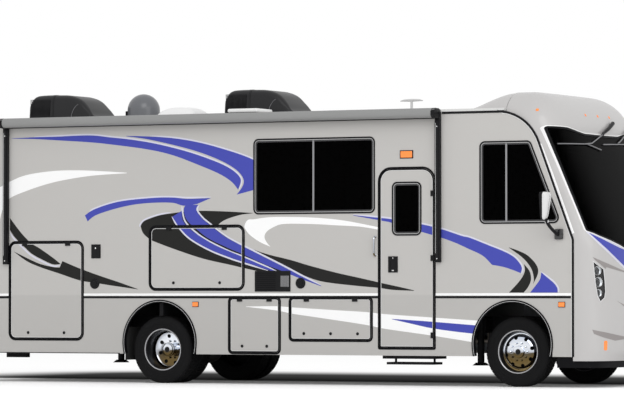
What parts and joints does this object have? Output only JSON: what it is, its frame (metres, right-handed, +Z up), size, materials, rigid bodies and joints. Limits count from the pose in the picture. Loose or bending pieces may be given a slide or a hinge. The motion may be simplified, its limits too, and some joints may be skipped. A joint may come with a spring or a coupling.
{
  "type": "motorhome",
  "caption": "Flat-fronted motorhome with hinged entry and storage doors, steered front wheels, twin rear wheels and a rolled awning.",
  "frame": {"origin": "on the ground, below the middle of the whole vehicle", "axes": "+X forwards, +Y to the vehicle's left, +Z up"},
  "size_m": [9.0983, 3.27, 3.696],
  "materials": {
    "body_paint": "satin",
    "cap_paint": "satin",
    "roof_skin": "satin",
    "floor_panel": "matt",
    "steel_black": "satin",
    "bay_sheet": "brushed",
    "frame_black": "satin",
    "dark_glass": "tinted",
    "cast_metal": "rough",
    "tyre": "matt",
    "chrome": "polished",
    "engine_paint": "rough",
    "tank_plastic": "matt",
    "exhaust_steel": "dull",
    "flap_rubber": "matt",
    "awning_cover": "satin",
    "shroud_black": "satin",
    "fitting_plastic": "satin",
    "mirror_shell": "glossy",
    "lamp_clear": "glossy",
    "lamp_amber": "glossy",
    "lamp_red": "glossy",
    "dash_plastic": "matt",
    "seat_leather": "satin",
    "trim_black": "satin",
    "ladder_metal": "satin"
  },
  "bodies": {
    "coach": {"roof": "roof_skin", "right_wall": "body_paint", "left_wall": "body_paint", "rear_wall": "body_paint", "front_cap": "cap_paint", "floor": "floor_panel", "storage_bays": "bay_sheet", "window_frames": "frame_black", "window_glass": "dark_glass", "windshield": "dark_glass", "step_well": "bay_sheet", "front_axle": "cast_metal", "rear_axle": "cast_metal", "frame_rails": "steel_black", "cross_members": "steel_black", "driveline": "engine_paint", "fuel_tank": "tank_plastic", "exhaust": "exhaust_steel", "jacks": "steel_black", "mud_flaps": "flap_rubber", "entry_step": "steel_black", "rear_bumper": "body_paint", "hitch_receiver": "steel_black", "awning": "awning_cover", "roof_units": "shroud_black", "roof_fittings": "fitting_plastic", "mirrors": "mirror_shell", "headlamps": "lamp_clear", "marker_lamps": "lamp_amber", "tail_lamps": "lamp_red", "front_grille": "trim_black", "dashboard": "dash_plastic", "steering_wheel": "trim_black", "cab_seats": "seat_leather", "outside_fittings": "trim_black", "rear_ladder": "ladder_metal"},
    "entry_door": {"entry_door": "body_paint", "entry_door_glass": "dark_glass"},
    "tall_door_right": {"tall_door_right": "body_paint"},
    "kitchen_door": {"kitchen_door": "body_paint"},
    "short_locker_door": {"short_locker_door": "body_paint"},
    "long_locker_door_right": {"long_locker_door_right": "body_paint"},
    "tall_door_left": {"tall_door_left": "body_paint"},
    "long_locker_door_left": {"long_locker_door_left": "body_paint"},
    "knuckle_right": {"knuckle_right": "cast_metal"},
    "knuckle_left": {"knuckle_left": "cast_metal"},
    "tie_rod": {"tie_rod": "steel_black"},
    "wheel_front_right": {"tyre_front_right": "tyre", "rim_front_right": "chrome"},
    "wheel_front_left": {"tyre_front_left": "tyre", "rim_front_left": "chrome"},
    "wheels_rear_right": {"tyres_rear_right": "tyre", "rims_rear_right": "chrome"},
    "wheels_rear_left": {"tyres_rear_left": "tyre", "rims_rear_left": "chrome"}
  },
  "joints": [
    {"name": "entry_door_hinge", "type": "hinge", "parent": "coach", "child": "entry_door", "pos_m": [2.316, -1.278, 1.5], "axis": [0, 0, 1], "range_deg": [0, 90]},
    {"name": "tall_door_right_hinge", "type": "hinge", "parent": "coach", "child": "tall_door_right", "pos_m": [-3.133, -1.278, 1.765], "axis": [-1, 0, 0], "range_deg": [0, 90]},
    {"name": "kitchen_door_hinge", "type": "hinge", "parent": "coach", "child": "kitchen_door", "pos_m": [-0.954, -1.278, 1.948], "axis": [-1, 0, 0], "range_deg": [0, 90]},
    {"name": "short_locker_door_hinge", "type": "hinge", "parent": "coach", "child": "short_locker_door", "pos_m": [-0.1375, -1.278, 1.061], "axis": [-1, 0, 0], "range_deg": [0, 90]},
    {"name": "long_locker_door_right_hinge", "type": "hinge", "parent": "coach", "child": "long_locker_door_right", "pos_m": [0.917, -1.278, 1.061], "axis": [-1, 0, 0], "range_deg": [0, 90]},
    {"name": "tall_door_left_hinge", "type": "hinge", "parent": "coach", "child": "tall_door_left", "pos_m": [-3.133, 1.278, 1.765], "axis": [1, 0, 0], "range_deg": [0, 90]},
    {"name": "long_locker_door_left_hinge", "type": "hinge", "parent": "coach", "child": "long_locker_door_left", "pos_m": [0.917, 1.278, 1.061], "axis": [1, 0, 0], "range_deg": [0, 90]},
    {"name": "steer_right", "type": "hinge", "parent": "coach", "child": "knuckle_right", "pos_m": [3.346, -0.82, 0.419], "axis": [0, 0, 1], "range_deg": [-38, 38]},
    {"name": "steer_left", "type": "hinge", "parent": "coach", "child": "knuckle_left", "pos_m": [3.346, 0.82, 0.419], "axis": [0, 0, 1], "range_deg": [-38, 38]},
    {"name": "tie_rod_pivot", "type": "hinge", "parent": "knuckle_right", "child": "tie_rod", "pos_m": [3.161, -0.82, 0.3], "axis": [0, 0, 1], "range_deg": [-38, 38]},
    {"name": "spin_front_right", "type": "hinge", "parent": "knuckle_right", "child": "wheel_front_right", "pos_m": [3.346, -0.995, 0.419], "axis": [0, 1, 0], "continuous": true},
    {"name": "spin_front_left", "type": "hinge", "parent": "knuckle_left", "child": "wheel_front_left", "pos_m": [3.346, 0.995, 0.419], "axis": [0, 1, 0], "continuous": true},
    {"name": "spin_rear_right", "type": "hinge", "parent": "coach", "child": "wheels_rear_right", "pos_m": [-1.48, -0.94, 0.419], "axis": [0, 1, 0], "continuous": true},
    {"name": "spin_rear_left", "type": "hinge", "parent": "coach", "child": "wheels_rear_left", "pos_m": [-1.48, 0.94, 0.419], "axis": [0, 1, 0], "continuous": true}
  ],
  "couplings": [
    {"joint": "steer_left", "follows": "steer_right", "ratio": 1},
    {"joint": "tie_rod_pivot", "follows": "steer_right", "ratio": -1}
  ]
}
